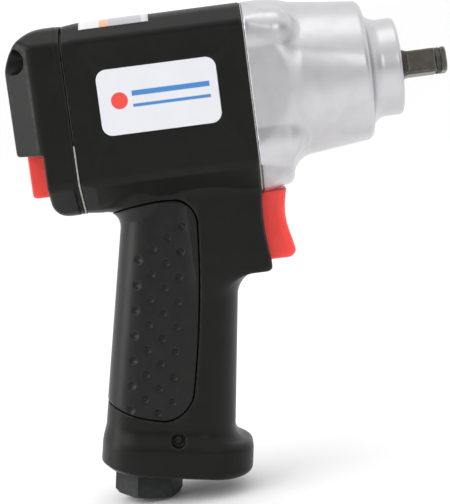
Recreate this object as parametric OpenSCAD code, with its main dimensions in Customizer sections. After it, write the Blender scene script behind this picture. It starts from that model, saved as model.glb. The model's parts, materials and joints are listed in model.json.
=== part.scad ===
// Air impact wrench, 3/8 inch square drive.
// +X runs along the drive axis towards the socket, +Z is up, and the handle hangs down.
// The origin is the centre of the square drive's tip.

/* [Drive] */
// Width across the flats of the square drive
drive_af = 9.525; // [9.5:0.025:12.7]
// Length from the nose face to the tip of the drive
drive_l = 19; // [15:0.5:24]
// Radius of the anvil's round shaft
anvil_r = 7.9; // [7:0.1:9.5]

/* [Hammer case] */
// Radius of the round nose
nose_r = 19; // [16.5:0.5:23]
// Length from the nose face back to the barrel's shoulder
nose_l = 13; // [13:0.5:18]
// Length of the barrel from its shoulder to the seam
barrel_l = 46; // [40:1:56]
// Wall of the barrel at its shoulder
barrel_wall = 2.7; // [2.3:0.1:4]
// Growth of the barrel's radius from its shoulder to the seam
barrel_taper = 5.3; // [3:0.1:7]

/* [Motor body] */
// Radius of the bore that holds the air motor and the hammer
motor_bore_r = 24.4; // [21:0.2:29.4]
// Length of the motor housing along the drive axis
motor_l = 68.5; // [60:1:83]
// Wall between the bore and the flat side
side_wall = 5.1; // [4.5:0.1:7]
// Wall between the bore and the flat top
top_wall = 8.1; // [7:0.1:11]
// Wall between the bore and the underside
under_wall = 17.1; // [15:0.1:20]
// Length of the rear cover
cover_l = 23; // [22:0.5:30]
// Thickness of the two gaskets
gasket_t = 0.6; // [0.5:0.1:1]

/* [Handle] */
// Rearward lean of the handle in degrees
handle_lean = 9.5; // [6:0.5:12]
// Distance along the handle from the drive axis to the base
handle_l = 151; // [135:1:180]
// Front-to-back depth of the handle
handle_d = 50; // [46:0.5:58]
// Width of the handle across the hand
handle_w = 36; // [33:0.5:43]
// Distance from the front seam back to the handle's axis, at the drive axis
handle_set_back = 26.5; // [24:0.5:30]
// Height of the flared base
foot_h = 14; // [11:0.5:16]
// Thickness of the soft grip
grip_t = 2; // [1.5:0.1:3]

/* [Controls] */
// Width of the trigger
trigger_w = 14; // [12:0.5:16]
// Height of the trigger
trigger_h = 27.6; // [26:0.2:30]
// Travel of the trigger
trigger_travel = 6.5; // [4:0.5:7]
// Radius of the rod that the trigger pushes
rod_r = 2; // [1.5:0.1:2.5]
// Reach of the reverse lever below the drive axis
lever_reach = 33.8; // [30:0.2:36]
// Swing of the reverse lever to each side in degrees
lever_swing = 30; // [15:1:32]

/* [Air inlet] */
// Radius of the inlet's tapping hole
inlet_r = 5.6; // [5:0.1:6.2]
// Width across the flats of the inlet's hexagon
inlet_af = 24; // [20:0.5:26]
// Length of the hexagon below the base
inlet_hex_l = 10.5; // [8:0.5:16]
// Distance of the inlet's axis behind the handle's axis
inlet_back = 8; // [7:0.5:9]

/* [Fasteners and fits] */
// Radius of the long housing screws
screw_r = 2.5; // [2:0.1:3]
// Depth of a screw in the hammer case
screw_bite = 13; // [10:0.5:16]
// Clearance between fitted pieces
fit = 0.05; // [0.02:0.01:0.1]
// Gap between pieces that move past one another
gap = 0.5; // [0.3:0.1:0.8]

/* [Hidden] */
$fn = 48;

// How far a cut runs past the face it opens through
past = 1;

// Stations along the drive axis, from the tip to the rear
nose_x = -drive_l;
shoulder_x = nose_x - nose_l;
seam_x = shoulder_x - barrel_l;
housing_front_x = seam_x - gasket_t;
housing_rear_x = housing_front_x - motor_l;
cover_front_x = housing_rear_x - gasket_t;
rear_x = cover_front_x - cover_l;

// Section of the body
body_half_w = motor_bore_r + side_wall;
body_top = motor_bore_r + top_wall;
body_bottom = -(motor_bore_r + under_wall);
top_bevel_w = 10.5;
top_bevel_h = 6.5;
low_bevel_h = 13;
top_half_w = body_half_w - top_bevel_w;
top_crease_z = body_top - top_bevel_h;
low_crease_z = body_bottom + low_bevel_h;

// Housing screws lie on a ring just outside the bore
screw_ring_r = motor_bore_r + 6;
screw_angle = 43.7;
screw_y = screw_ring_r * cos(screw_angle);
screw_z = screw_ring_r * sin(screw_angle);
screw_seat_depth = 6;
screw_seat_x = cover_front_x - screw_seat_depth;
screw_head_r = 4.3;
screw_head_l = 4.2;
screw_socket_r = 2;
screw_socket_depth = 2.7;
screw_gap = 0.3;
washer_t = 1;
counterbore_r = screw_head_r + 0.6;
screw_tip_x = seam_x + screw_bite;

// Hammer case
barrel_front_r = motor_bore_r + barrel_wall;
barrel_rear_r = barrel_front_r + barrel_taper;
shoulder_wall = 5.5;
cavity_front_x = shoulder_x - shoulder_wall;
bushing_r = anvil_r + 3.1;
boss_wall = 4.5;
boss_r = screw_r + boss_wall;
boss_cap = 3.5;
flange_t = 11;
nose_chamfer = 1;
shoulder_fillet_r = 4.5;

// Air motor
plate_t = 9;
rear_plate_x = housing_rear_x + gap;
cylinder_rear_x = rear_plate_x + plate_t;
hammer_setback = 11;
cylinder_l = motor_l - gap - 2 * plate_t - hammer_setback;
cylinder_front_x = cylinder_rear_x + cylinder_l;
front_plate_x = cylinder_front_x + plate_t;
motor_r = motor_bore_r - fit;
rotor_r = motor_bore_r - 7.2;
rotor_offset = 1.9;
chamber_r = rotor_r + rotor_offset + 2 * fit;
rotor_shaft_r = 5;
vane_t = 3;
vane_h = 8;
vane_count = 6;
port_r = 2.2;
port_pitch = 8;
port_angle = 30;
dowel_r = 1.5;
dowel_z = -(motor_bore_r - 3.4);

// Ball bearings
ball_r = 1.25;
ball_ring_r = rotor_shaft_r + 2.25;
race_inner_r = ball_ring_r - 0.85;
race_outer_r = ball_ring_r + 0.85;
bearing_r = ball_ring_r + 2.25;
bearing_w = 5;
ball_count = 10;
rear_bearing_x = rear_plate_x + 0.2;
front_bearing_x = front_plate_x - bearing_w - 0.2;

// Hammer
cage_r = motor_bore_r - 1;
cage_rear_x = front_plate_x + 1;
cage_front_x = cavity_front_x - 1;
cage_rear_t = 8;
cage_front_t = 5;
window_rear_x = cage_rear_x + cage_rear_t;
window_front_x = cage_front_x - cage_front_t;
window_l = window_front_x - window_rear_x;
bar_inner_r = motor_bore_r - 4.4;
bar_half_h = 8;
window_half_w = bar_inner_r * 0.8;
hammer_pin_r = 2.5;
hammer_pin_z = motor_bore_r - 5.6;
dog_r = motor_bore_r - 6.9;
dog_bore_r = anvil_r + 3.6;
dog_l = (window_l - 3 * gap) / 2;
dog_lug_r = hammer_pin_r + 1.5;
dog_relief_r = hammer_pin_r + 2.8;
jaw_r = anvil_r + 1.5;
jaw_half_h = 4;
drive_turn = 13;
pilot_r = 4.6;
pilot_l = 3.4;

// Handle, in its own frame: local X forward, local Z up along the handle
handle_x = seam_x - handle_set_back;
foot_front = handle_d / 2 + 8.8;
foot_back = handle_d / 2 + 0.3;
foot_w = handle_w + 6;
foot_taper_h = 14;
foot_taper_top = handle_l - foot_h - foot_taper_h;
handle_corner_r = handle_w * 0.42;
grip_front = 9;
grip_top = (-body_bottom + 1.5) / cos(handle_lean);
grip_bottom = handle_l - foot_h - 11;

// Trigger and its strut
strut_front_x = seam_x - 1;
trigger_top_z = body_bottom - 0.4;
trigger_bottom_z = trigger_top_z - trigger_h;
trigger_front_x = strut_front_x + 11.4;
trigger_back_x = strut_front_x - 7;
trigger_l = trigger_front_x - trigger_back_x;
pocket_back_x = trigger_back_x - trigger_travel - 1;
strut_bottom_z = trigger_bottom_z - 3;
strut_w = handle_w - 5;
strut_fillet_r = 7;
handle_front_x = handle_x + (handle_d / 2 + strut_bottom_z * sin(handle_lean)) / cos(handle_lean);
trigger_round_r = 3;
trigger_hollow_r = 32;
trigger_hollow_depth = 2.3;
rod_z = trigger_top_z - 10.9;

// Air way up the handle
way_r = inlet_back + 1.5;
way_top = grip_top + 3.5;
duct_r = 4;
rod_u = (-rod_z + inlet_back * sin(handle_lean)) / cos(handle_lean);
way_x = handle_x - inlet_back * cos(handle_lean);
stem_r = 1.5;
stem_x = way_x - rod_u * sin(handle_lean);
stem_top = rod_u - 3.5;
rod_back_x = stem_x + stem_r / cos(handle_lean) + 0.4;
rod_front_x = trigger_back_x + 5;
rod_bush_r = 5;
rod_bush_front_x = pocket_back_x - 1.5;
rod_bush_l = 12;
rod_bush_back_x = rod_bush_front_x - rod_bush_l;
rod_ring_back = 5.1;
ring_wire_r = 0.5;
groove_w = 2.2;
seat_top = stem_top + 37.3;
seat_t = 3;
seat_bore_r = 5.5;
valve_top = seat_top + seat_t + 0.1;
valve_r = way_r - 1.5;
valve_t = 2.4;
shank_r = way_r - fit;
shank_l = 21;
inlet_ring_down = 3.9;
thread_l = 15;
throat_r = inlet_r - 0.6;
shank_top = handle_l - shank_l;
spring_wire_r = 0.6;
spring_turns = 5;
screen_t = 1.2;
hex_turn = 12;
hex_corner_r = inlet_af / 2 / cos(30);

// Exhaust ways and deflector
exhaust_v = 13;
exhaust_y = 11;
exhaust_r = 3.5;
exhaust_u = handle_l - foot_h + 3;
exhaust_top_u = motor_bore_r - 5;
deflector_v = 19.5;
deflector_d = 19;
deflector_w = 26;
deflector_t = 4;
deflector_corner_r = 4;
deflector_slot_l = 13;
deflector_slot_w = 2;
deflector_slot_pitch = 4.6;
felt_t = 3;
deflector_lift = 0.3;
base_pin_r = 1.5;
pin_recess_r = base_pin_r + 1.3;
pin_recess_depth = 2.5;
base_pin_v = -inlet_back + way_r + base_pin_r + 0.3;
base_pin_u = handle_l - foot_h - 1.5;

// Rear cover and reverse control
pod_bottom_z = -15.4;
low_cover_x = rear_x + 11.1;
cover_wall = 1.8;
pod_round_l = 14;
pod_round_h = 10.5;
low_cover_r = 5;
corner_steps = 6;
pod_bevel_l = 11;
pod_bevel_w = 11;
lever_front_x = low_cover_x - 1;
lever_back_x = rear_x + cover_wall + gap;
hub_r = 12.5;
hub_bore_r = hub_r + gap;
valve_hub_r = 12;
valve_way_r = 2.2;
valve_way_z = 7;
bush_wall = 2.4;
lever_w = 9;
lever_round_r = 2;
lever_screw_r = 1.8;
slot_half_w = -pod_bottom_z * tan(lever_swing) + lever_w / 2 / cos(lever_swing) + 1.5;
detent_ball_r = 1.5;
detent_x = (lever_front_x + lever_back_x) / 2;
detent_spring_l = 6;

// Labels
label_l = 45.5;
label_h = 25;
label_t = 0.4;
label_corner_r = 4;
label_x = seam_x - 35;
label_z = 1.4;
top_label_l = 26.6;
top_label_w = 36;
top_label_inset = 7.1;
top_label_x = housing_rear_x + top_label_inset;

// Friction ring
ring_x = -3.3;
ring_w = 1.8;
ring_groove_r = 3.4;
ring_in_r = 4.2;
ring_out_r = drive_af / 2 + 0.45;

// Points of a rectangle with round corners
function round_rect(a, b, r, n = 6) = [
    for (q = [0:3], i = [0:n])
        let (sx = (q == 0 || q == 3) ? 1 : -1, sy = q < 2 ? 1 : -1, t = 90 * q + 90 * i / n)
            [sx * (a / 2 - r) + r * cos(t), sy * (b / 2 - r) + r * sin(t)]
];

// A round bar along X between two stations
module bar_x(x0, x1, r, r2 = 0) {
    translate([x0, 0, 0]) rotate([0, 90, 0]) cylinder(h = x1 - x0, r1 = r, r2 = r2 > 0 ? r2 : r);
}

// A flat outline in Y and Z, extruded along X between two stations
module prism_x(x0, x1) {
    translate([x0, 0, 0]) rotate([90, 0, 90]) linear_extrude(height = x1 - x0) children();
}

// A flat outline in X and Z, extruded across the tool to a half width
module prism_y(half_w) {
    translate([0, half_w, 0]) rotate([90, 0, 0]) linear_extrude(height = 2 * half_w) children();
}

// The handle's own frame
module in_handle() {
    translate([handle_x, 0, 0]) rotate([0, handle_lean, 0]) children();
}

// A slab of a flat outline between two distances down the handle
module handle_slab(u0, u1) {
    translate([0, 0, -u1]) linear_extrude(height = u1 - u0) children();
}

// A round bar down the air way's axis
module way_bar(u0, u1, r, r2 = 0) {
    translate([-inlet_back, 0, -u1]) cylinder(h = u1 - u0, r1 = r, r2 = r2 > 0 ? r2 : r);
}

module at_screws() {
    for (sy = [-1, 1], sz = [-1, 1]) translate([0, sy * screw_y, sz * screw_z]) children();
}

module body_outline(grow = 0) {
    polygon([
        [-top_half_w, body_top + grow], [top_half_w, body_top + grow],
        [body_half_w + grow, top_crease_z], [body_half_w + grow, low_crease_z],
        [top_half_w, body_bottom - grow], [-top_half_w, body_bottom - grow],
        [-body_half_w - grow, low_crease_z], [-body_half_w - grow, top_crease_z]
    ]);
}

module handle_outline(inset = 0) {
    polygon(round_rect(handle_d - 2 * inset, handle_w - 2 * inset, handle_corner_r - inset));
}

module foot_outline() {
    translate([(foot_front - foot_back) / 2, 0])
        polygon(round_rect(foot_front + foot_back, foot_w, handle_corner_r));
}

// The layer of the handle that the soft grip fills
module grip_layer(clear = 0) {
    intersection() {
        difference() {
            handle_slab(grip_top + clear, grip_bottom - clear) handle_outline(-past);
            handle_slab(grip_top - past, grip_bottom + past) handle_outline(grip_t - clear);
        }
        translate([-handle_d, -handle_d, -handle_l])
            cube([handle_d + grip_front - clear, 2 * handle_d, handle_l]);
    }
}

module strut() {
    difference() {
        union() {
            translate([handle_x, -strut_w / 2, strut_bottom_z])
                cube([strut_front_x - handle_x, strut_w, body_bottom - strut_bottom_z + past]);
            translate([handle_x, -strut_w / 2, strut_bottom_z - strut_fillet_r])
                cube([handle_front_x + strut_fillet_r - handle_x, strut_w, strut_fillet_r + past]);
        }
        translate([handle_front_x + strut_fillet_r, 0, strut_bottom_z - strut_fillet_r])
            rotate([90, 0, 0]) cylinder(h = strut_w + 2 * past, r = strut_fillet_r, center = true);
    }
}

module handle_body() {
    handle_slab(-body_bottom - 8, handle_l - foot_h) handle_outline();
    handle_slab(handle_l - foot_h, handle_l) foot_outline();
    hull() {
        handle_slab(foot_taper_top, foot_taper_top + 0.1) handle_outline();
        handle_slab(handle_l - foot_h, handle_l - foot_h + 0.1) foot_outline();
    }
}

module side_label_outline(grow = 0) {
    polygon(round_rect(label_l + 2 * grow, label_h + 2 * grow, label_corner_r + grow));
}

module side_label_slab(depth, grow = 0) {
    for (s = [-1, 1])
        translate([label_x, s * (body_half_w - depth / 2), label_z]) rotate([90, 0, 0])
            linear_extrude(height = depth, center = true) side_label_outline(grow);
}

module deflector_outline(clear = 0) {
    translate([deflector_v, 0])
        polygon(round_rect(deflector_d - 2 * clear, deflector_w - 2 * clear, deflector_corner_r));
}

module motor_housing() {
    color("#2a2c29") difference() {
        union() {
            prism_x(housing_rear_x, housing_front_x) body_outline();
            in_handle() handle_body();
            strut();
        }
        bar_x(housing_rear_x - past, housing_front_x + past, motor_bore_r);
        at_screws() bar_x(housing_rear_x - past, housing_front_x + past, screw_r + screw_gap);
        // Trigger pocket, and the bore for the trigger bushing behind it
        translate([pocket_back_x, -trigger_w / 2 - 0.3, trigger_bottom_z - gap])
            cube([strut_front_x - pocket_back_x + past, trigger_w + 0.6, trigger_h + gap + 0.3]);
        translate([0, 0, rod_z]) bar_x(stem_x, pocket_back_x + past, rod_r + gap);
        translate([0, 0, rod_z]) bar_x(rod_bush_back_x, pocket_back_x + past, rod_bush_r + fit);
        in_handle() {
            way_bar(way_top, handle_l + past, way_r);
            way_bar(motor_bore_r - 4, way_top + past, duct_r);
            for (s = [-1, 1]) translate([exhaust_v, s * exhaust_y, -exhaust_u])
                cylinder(h = exhaust_u - exhaust_top_u, r = exhaust_r);
            handle_slab(handle_l - deflector_t - felt_t - deflector_lift, handle_l + past)
                deflector_outline();
            translate([base_pin_v, 0, -base_pin_u]) rotate([90, 0, 0]) {
                cylinder(h = foot_w + 2 * past, r = base_pin_r + fit, center = true);
                for (s = [-1, 1]) translate([0, 0, s * foot_w / 2])
                    cylinder(h = 2 * pin_recess_depth, r = pin_recess_r, center = true);
            }
            grip_layer();
        }
        side_label_slab(2 * label_t, 0.2);
        translate([top_label_x - fit, -top_label_w / 2 - fit, body_top - label_t])
            cube([top_label_l + 2 * fit, top_label_w + 2 * fit, label_t + past]);
    }
}

module hammer_case() {
    color("#b9bcc0") difference() {
        union() {
            intersection() {
                bar_x(seam_x, shoulder_x, barrel_rear_r, barrel_front_r);
                prism_x(seam_x, shoulder_x) body_outline();
            }
            prism_x(seam_x, seam_x + flange_t) body_outline();
            at_screws() bar_x(seam_x, screw_tip_x + boss_cap, boss_r);
            bar_x(shoulder_x - past, nose_x - nose_chamfer, nose_r);
            bar_x(nose_x - nose_chamfer, nose_x, nose_r, nose_r - nose_chamfer);
            // Concave step from the barrel down to the nose
            translate([shoulder_x, 0, 0]) rotate([0, 90, 0]) rotate_extrude($fn = 64) difference() {
                square([nose_r + shoulder_fillet_r, shoulder_fillet_r]);
                translate([nose_r + shoulder_fillet_r, shoulder_fillet_r]) circle(r = shoulder_fillet_r);
            }
        }
        bar_x(seam_x - past, cavity_front_x, motor_bore_r);
        bar_x(cavity_front_x - past, nose_x + past, bushing_r + fit);
        at_screws() bar_x(seam_x - past, screw_tip_x + gap, screw_r + fit);
    }
}

module cover_side() {
    polygon(concat(
        [[cover_front_x, body_bottom], [cover_front_x, body_top]],
        [for (i = [0:corner_steps]) let (t = 90 + 90 * i / corner_steps)
            [rear_x + pod_round_l * (1 + cos(t)), body_top - pod_round_h * (1 - sin(t))]],
        [[rear_x, pod_bottom_z + 1], [rear_x + 1, pod_bottom_z], [low_cover_x, pod_bottom_z]],
        [for (i = [0:corner_steps]) let (t = 180 + 90 * i / corner_steps)
            [low_cover_x + low_cover_r * (1 + cos(t)), body_bottom + low_cover_r * (1 + sin(t))]]
    ));
}

module cover_plan() {
    polygon([
        [cover_front_x, -body_half_w], [cover_front_x, body_half_w],
        [rear_x + pod_bevel_l, body_half_w], [rear_x, body_half_w - pod_bevel_w],
        [rear_x, -body_half_w + pod_bevel_w], [rear_x + pod_bevel_l, -body_half_w]
    ]);
}

module rear_cover() {
    color("#2a2c29") difference() {
        intersection() {
            prism_x(rear_x, cover_front_x) body_outline();
            prism_y(body_half_w + past) cover_side();
            translate([0, 0, body_bottom - past])
                linear_extrude(height = body_top - body_bottom + 2 * past) cover_plan();
        }
        // Bore for the valve bushing, and the wider space for the lever's hub behind it
        bar_x(low_cover_x, cover_front_x + past, valve_hub_r + bush_wall + fit);
        bar_x(lever_back_x - gap, low_cover_x + past, hub_bore_r);
        // Slot that the lever swings in
        translate([lever_back_x - gap, -slot_half_w, pod_bottom_z - past])
            cube([low_cover_x - lever_back_x + gap, 2 * slot_half_w, -pod_bottom_z + past]);
        at_screws() bar_x(screw_seat_x - past, cover_front_x + past, screw_r + screw_gap);
        at_screws() bar_x(rear_x - past, screw_seat_x, counterbore_r);
        translate([detent_x, 0, 0])
            cylinder(h = hub_bore_r + detent_spring_l + 1.6, r = detent_ball_r + 0.15);
    }
}

module case_gasket() {
    color("#c9c6bd") difference() {
        prism_x(housing_front_x, seam_x) body_outline();
        bar_x(housing_front_x - past, seam_x + past, motor_bore_r);
        at_screws() bar_x(housing_front_x - past, seam_x + past, screw_r + screw_gap);
    }
}

module rear_gasket() {
    color("#8d8d86") difference() {
        prism_x(cover_front_x, housing_rear_x) body_outline();
        bar_x(cover_front_x - past, housing_rear_x + past, valve_hub_r + bush_wall);
        at_screws() bar_x(cover_front_x - past, housing_rear_x + past, screw_r + screw_gap);
    }
}

module soft_grip() {
    color("#1f211f") in_handle() {
        intersection() {
            grip_layer(fit);
            handle_slab(grip_top, grip_bottom) handle_outline();
        }
    }
}

module housing_screws() {
    color("#4a4b4d") at_screws() difference() {
        union() {
            bar_x(screw_seat_x - washer_t - screw_head_l, screw_seat_x - washer_t, screw_head_r);
            bar_x(screw_seat_x - washer_t - past, screw_tip_x, screw_r);
        }
        translate([screw_seat_x - washer_t - screw_head_l, 0, 0])
            bar_x(-past, screw_socket_depth, screw_socket_r);
    }
}

module screw_washers() {
    color("#8f9194") at_screws() difference() {
        bar_x(screw_seat_x - washer_t, screw_seat_x, screw_head_r + 0.3);
        bar_x(screw_seat_x - washer_t - past, screw_seat_x + past, screw_r + fit);
    }
}

module side_labels() {
    color("#e8eaee") side_label_slab(label_t - fit);
}

module top_label() {
    color("#cfd2d6") translate([top_label_x, -top_label_w / 2, body_top - label_t])
        cube([top_label_l, top_label_w, label_t]);
}

module cylinder_liner() {
    color("#7f8286") difference() {
        bar_x(cylinder_rear_x, cylinder_front_x, motor_r);
        translate([0, 0, rotor_offset]) bar_x(cylinder_rear_x - past, cylinder_front_x + past, chamber_r);
        translate([0, 0, dowel_z]) bar_x(cylinder_rear_x - past, cylinder_front_x + past, dowel_r + fit);
        // Exhaust ports
        for (i = [-1:1], a = [-port_angle, port_angle])
            translate([(cylinder_rear_x + cylinder_front_x) / 2 + port_pitch * i, 0, 0]) rotate([a, 0, 0])
                translate([0, 0, -motor_bore_r - past]) cylinder(h = motor_bore_r, r = port_r);
    }
}

module end_plate(x0, pocket_x) {
    difference() {
        bar_x(x0, x0 + plate_t, motor_r);
        bar_x(x0 - past, x0 + plate_t + past, rotor_shaft_r + gap);
        bar_x(pocket_x, pocket_x + bearing_w, bearing_r + fit);
        translate([0, 0, dowel_z]) bar_x(x0 - past, x0 + plate_t + past, dowel_r + fit);
    }
}

module front_end_plate() {
    color("#909398") difference() {
        end_plate(cylinder_front_x, front_bearing_x);
        bar_x(front_bearing_x + past, front_plate_x + past, bearing_r + fit);
    }
}

module rear_end_plate() {
    color("#909398") difference() {
        end_plate(rear_plate_x, rear_bearing_x);
        bar_x(rear_plate_x - past, rear_bearing_x + past, bearing_r + fit);
    }
}

module dowel_pin() {
    color("#a9abae") translate([0, 0, dowel_z]) bar_x(rear_plate_x + 1, front_plate_x - 1, dowel_r);
}

// A bearing ring with a groove for the balls
module race(x0, r0, r1) {
    translate([x0, 0, 0]) rotate([0, 90, 0]) rotate_extrude($fn = 64) difference() {
        translate([r0, 0]) square([r1 - r0, bearing_w]);
        translate([ball_ring_r, bearing_w / 2]) circle(r = ball_r + fit);
    }
}

module bearing_balls() {
    color("#d5d7da") for (x = [front_bearing_x, rear_bearing_x], i = [0:ball_count - 1])
        translate([x + bearing_w / 2, 0, 0]) rotate([i * 360 / ball_count, 0, 0])
            translate([0, 0, ball_ring_r]) sphere(r = ball_r, $fn = 24);
}

module anvil_bushing() {
    color("#b08d4a") difference() {
        bar_x(cavity_front_x + 0.2, nose_x - 1.6, bushing_r);
        bar_x(cavity_front_x - past, nose_x, anvil_r + fit);
    }
}

module anvil_seal() {
    color("#1b1b1b") difference() {
        bar_x(nose_x - 1.5, nose_x - 0.3, bushing_r);
        bar_x(nose_x - 2, nose_x + past, anvil_r + 0.2);
    }
}

module reverse_bushing() {
    color("#b08d4a") difference() {
        bar_x(low_cover_x + past, cover_front_x, valve_hub_r + bush_wall);
        bar_x(low_cover_x, cover_front_x + past, valve_hub_r + fit);
    }
}

module detent_ball() {
    color("#d5d7da") translate([detent_x, 0, hub_bore_r]) sphere(r = detent_ball_r, $fn = 32);
}

// A coil spring standing on local Z, as one swept ring of points per step
module coil(coil_r, wire_r, length, turns) {
    steps = 16;
    sides = 8;
    total = turns * steps;
    ring = function (i) [
        for (j = [0:sides - 1])
            let (a = 360 * i / steps, b = 360 * j / sides, r = coil_r + wire_r * cos(b))
                [r * cos(a), r * sin(a), wire_r + (length - 2 * wire_r) * i / total + wire_r * sin(b)]
    ];
    points = [for (i = [0:total], p = ring(i)) p];
    walls = [
        for (i = [0:total - 1], j = [0:sides - 1])
            let (k = (j + 1) % sides)
                [i * sides + j, (i + 1) * sides + j, (i + 1) * sides + k, i * sides + k]
    ];
    start = [for (j = [0:sides - 1]) j];
    end = [for (j = [sides - 1:-1:0]) total * sides + j];
    polyhedron(points, concat(walls, [start], [end]));
}

module detent_spring() {
    color("#a9abae") translate([detent_x, 0, hub_bore_r + detent_ball_r + 0.1])
        coil(detent_ball_r - 0.5, 0.3, detent_spring_l - 0.2, 4);
}

module trigger_bushing() {
    color("#b08d4a") difference() {
        translate([0, 0, rod_z]) bar_x(rod_bush_back_x, rod_bush_front_x, rod_bush_r);
        translate([0, 0, rod_z]) bar_x(rod_bush_back_x - past, rod_bush_front_x + past, rod_r + fit);
        translate([rod_bush_back_x + rod_ring_back, 0, rod_z]) rotate([0, 90, 0]) rotate_extrude()
            translate([rod_bush_r - 2 * ring_wire_r, -groove_w / 2]) square([2, groove_w]);
    }
}

module trigger_o_ring() {
    color("#1b1b1b") translate([rod_bush_back_x + rod_ring_back, 0, rod_z])
        rotate([0, 90, 0]) rotate_extrude()
        translate([rod_bush_r - ring_wire_r, 0]) circle(r = ring_wire_r, $fn = 24);
}

module valve_seat() {
    color("#b08d4a") in_handle() difference() {
        way_bar(seat_top, seat_top + seat_t, way_r - fit);
        way_bar(seat_top - past, seat_top + seat_t + past, seat_bore_r);
    }
}

module throttle_valve() {
    color("#a9abae") in_handle() {
        way_bar(valve_top, valve_top + valve_t, valve_r);
        way_bar(stem_top, valve_top + past, stem_r);
    }
}

module throttle_spring() {
    color("#a9abae") in_handle() translate([-inlet_back, 0, -shank_top + 0.1])
        coil(valve_r - 2, spring_wire_r, shank_top - valve_top - valve_t - 0.3, spring_turns);
}

module inlet_bushing() {
    color("#3f4143") in_handle() difference() {
        union() {
            way_bar(shank_top, handle_l + past, shank_r);
            // Hexagon with its corners turned down at the mouth
            intersection() {
                translate([-inlet_back, 0, -handle_l - inlet_hex_l]) rotate([0, 0, hex_turn])
                    cylinder(h = inlet_hex_l - 0.2, r = hex_corner_r, $fn = 6);
                way_bar(handle_l - past, handle_l + inlet_hex_l, hex_corner_r - 1.2, hex_corner_r + 9);
            }
        }
        way_bar(handle_l + inlet_hex_l - thread_l, handle_l + inlet_hex_l + past, inlet_r);
        way_bar(shank_top - past, handle_l, throat_r);
        way_bar(shank_top - past, shank_top + screen_t, inlet_r + 1.4);
        translate([-inlet_back, 0, -shank_top - inlet_ring_down]) rotate_extrude()
            translate([shank_r - 2 * ring_wire_r, -groove_w / 2]) square([2, groove_w]);
    }
}

module inlet_screen() {
    color("#b5b7ba") in_handle() difference() {
        way_bar(shank_top + 0.1, shank_top + screen_t, inlet_r + 1.3);
        for (a = [0:60:300], r = [2.6, 5.2]) translate([-inlet_back, 0, 0]) rotate([0, 0, a])
            translate([r, 0, -shank_top - screen_t - past])
                cylinder(h = screen_t + 2 * past, r = 0.8, $fn = 16);
    }
}

module inlet_o_ring() {
    color("#1b1b1b") in_handle() translate([-inlet_back, 0, -shank_top - inlet_ring_down]) rotate_extrude()
        translate([shank_r - ring_wire_r, 0]) circle(r = ring_wire_r, $fn = 24);
}

module exhaust_deflector() {
    color("#2a2c29") in_handle() difference() {
        handle_slab(handle_l - deflector_t, handle_l - 0.2) deflector_outline(fit);
        for (i = [-2:2])
            translate([deflector_v - deflector_slot_l / 2, i * deflector_slot_pitch - deflector_slot_w / 2,
                       -handle_l - past])
                cube([deflector_slot_l, deflector_slot_w, deflector_t + 2 * past]);
    }
}

module muffler_felt() {
    color("#8b8577") in_handle()
        handle_slab(handle_l - deflector_t - felt_t, handle_l - deflector_t - fit) deflector_outline(0.3);
}

module base_pin() {
    color("#3a3b3d") in_handle() translate([base_pin_v, 0, -base_pin_u]) rotate([90, 0, 0])
        cylinder(h = foot_w - 2 * pin_recess_depth - 1, r = base_pin_r, center = true);
}

module trigger() {
    color("#e8352c") difference() {
        intersection() {
            translate([trigger_back_x, -trigger_w / 2, trigger_bottom_z])
                cube([trigger_front_x - trigger_back_x, trigger_w, trigger_h]);
            // Round lower lip and softened front edges
            prism_y(trigger_w) hull() {
                translate([trigger_front_x - trigger_round_r, trigger_bottom_z + trigger_round_r])
                    circle(r = trigger_round_r, $fn = 32);
                translate([trigger_back_x - past, trigger_bottom_z]) square([past, trigger_h + past]);
                translate([trigger_front_x - past, trigger_top_z]) square(past);
            }
            translate([trigger_front_x - trigger_l, 0, trigger_bottom_z - past])
                linear_extrude(height = trigger_h + 2 * past)
                    polygon(round_rect(2 * trigger_l, trigger_w, trigger_round_r));
        }
        translate([trigger_front_x - trigger_hollow_depth + trigger_hollow_r, 0, rod_z])
            rotate([90, 0, 0]) cylinder(h = 2 * trigger_w, r = trigger_hollow_r, center = true, $fn = 96);
        translate([0, 0, rod_z]) bar_x(trigger_back_x - past, rod_front_x + 0.2, rod_r + fit);
    }
}

module trigger_rod() {
    color("#a9abae") translate([0, 0, rod_z]) bar_x(rod_back_x, rod_front_x, rod_r);
}

module reverse_lever() {
    color("#e8352c") difference() {
        union() {
            bar_x(lever_back_x, lever_front_x, hub_r);
            translate([lever_back_x, -lever_w / 2, -lever_reach + lever_round_r])
                cube([lever_front_x - lever_back_x, lever_w, lever_reach - lever_round_r]);
            translate([lever_back_x + lever_round_r, -lever_w / 2, -lever_reach])
                cube([lever_front_x - lever_back_x - lever_round_r, lever_w, lever_round_r + past]);
            translate([lever_back_x + lever_round_r, 0, -lever_reach + lever_round_r]) rotate([90, 0, 0])
                cylinder(h = lever_w, r = lever_round_r, center = true);
        }
        bar_x(lever_back_x - past, lever_front_x + past, lever_screw_r);
        // Track for the detent ball
        translate([detent_x, 0, 0]) rotate([0, 90, 0]) rotate_extrude($fn = 64)
            translate([hub_bore_r, 0]) circle(r = detent_ball_r + 0.1, $fn = 32);
    }
}

module reverse_valve() {
    color("#909398") difference() {
        bar_x(lever_front_x + fit, cover_front_x, valve_hub_r);
        bar_x(lever_front_x - past, cover_front_x - 4, lever_screw_r);
        // Three air ways through the valve
        for (a = [60, 180, 300]) rotate([a, 0, 0]) translate([0, 0, valve_way_z])
            bar_x(lever_front_x + 4, cover_front_x + past, valve_way_r);
    }
}

module lever_screw() {
    color("#4a4b4d") bar_x(lever_back_x + 0.5, cover_front_x - 5, lever_screw_r - fit);
}

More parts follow.
